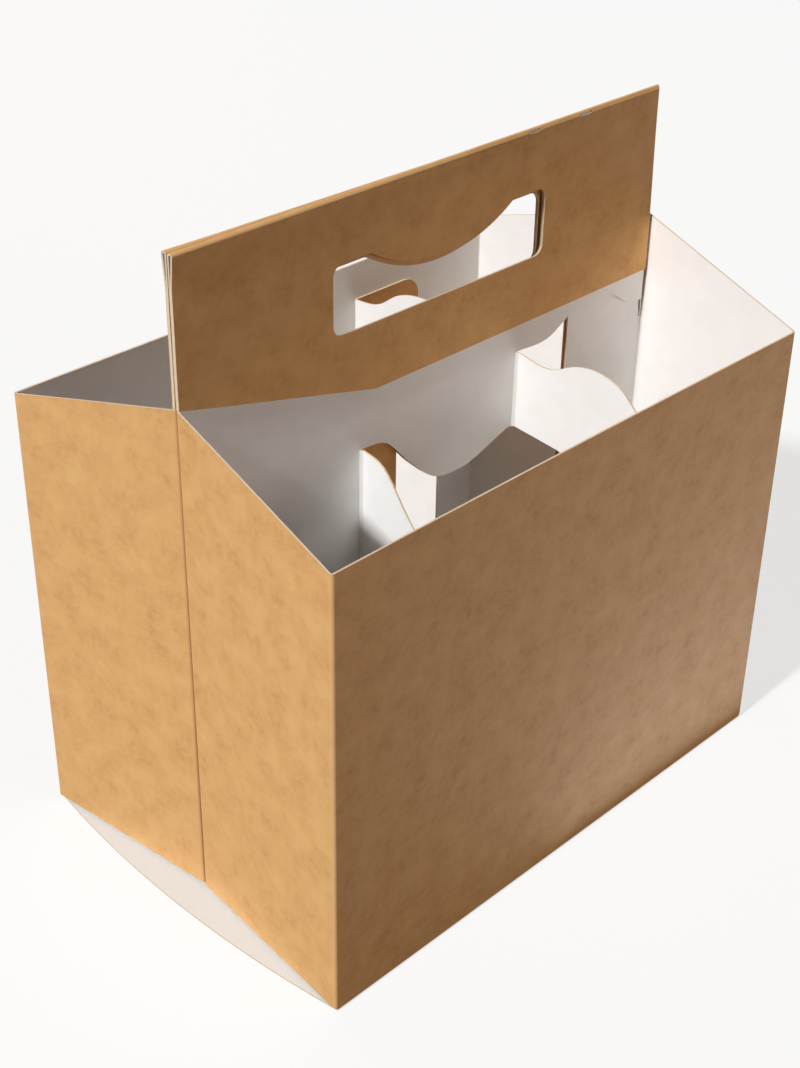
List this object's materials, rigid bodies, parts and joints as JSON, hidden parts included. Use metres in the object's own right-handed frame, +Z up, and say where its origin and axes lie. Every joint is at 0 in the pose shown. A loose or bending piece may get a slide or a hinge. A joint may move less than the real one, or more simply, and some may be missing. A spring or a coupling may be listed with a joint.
{
  "type": "bottle carrier",
  "caption": "Folded board basket carrier with open-topped cells either side of a raised handle panel with a hand hole, for carrying bottles.",
  "frame": {"origin": "on the floor, midway between the four corners of the walls", "axes": "+X along the walls to the right, +Y to the rear wall, +Z up"},
  "size_m": [0.2083, 0.1308, 0.2085],
  "materials": {
    "kraft_board": "uncoated kraft outside, white inside"
  },
  "bodies": {
    "root": {"bottle_carrier": "kraft_board"}
  },
  "joints": []
}
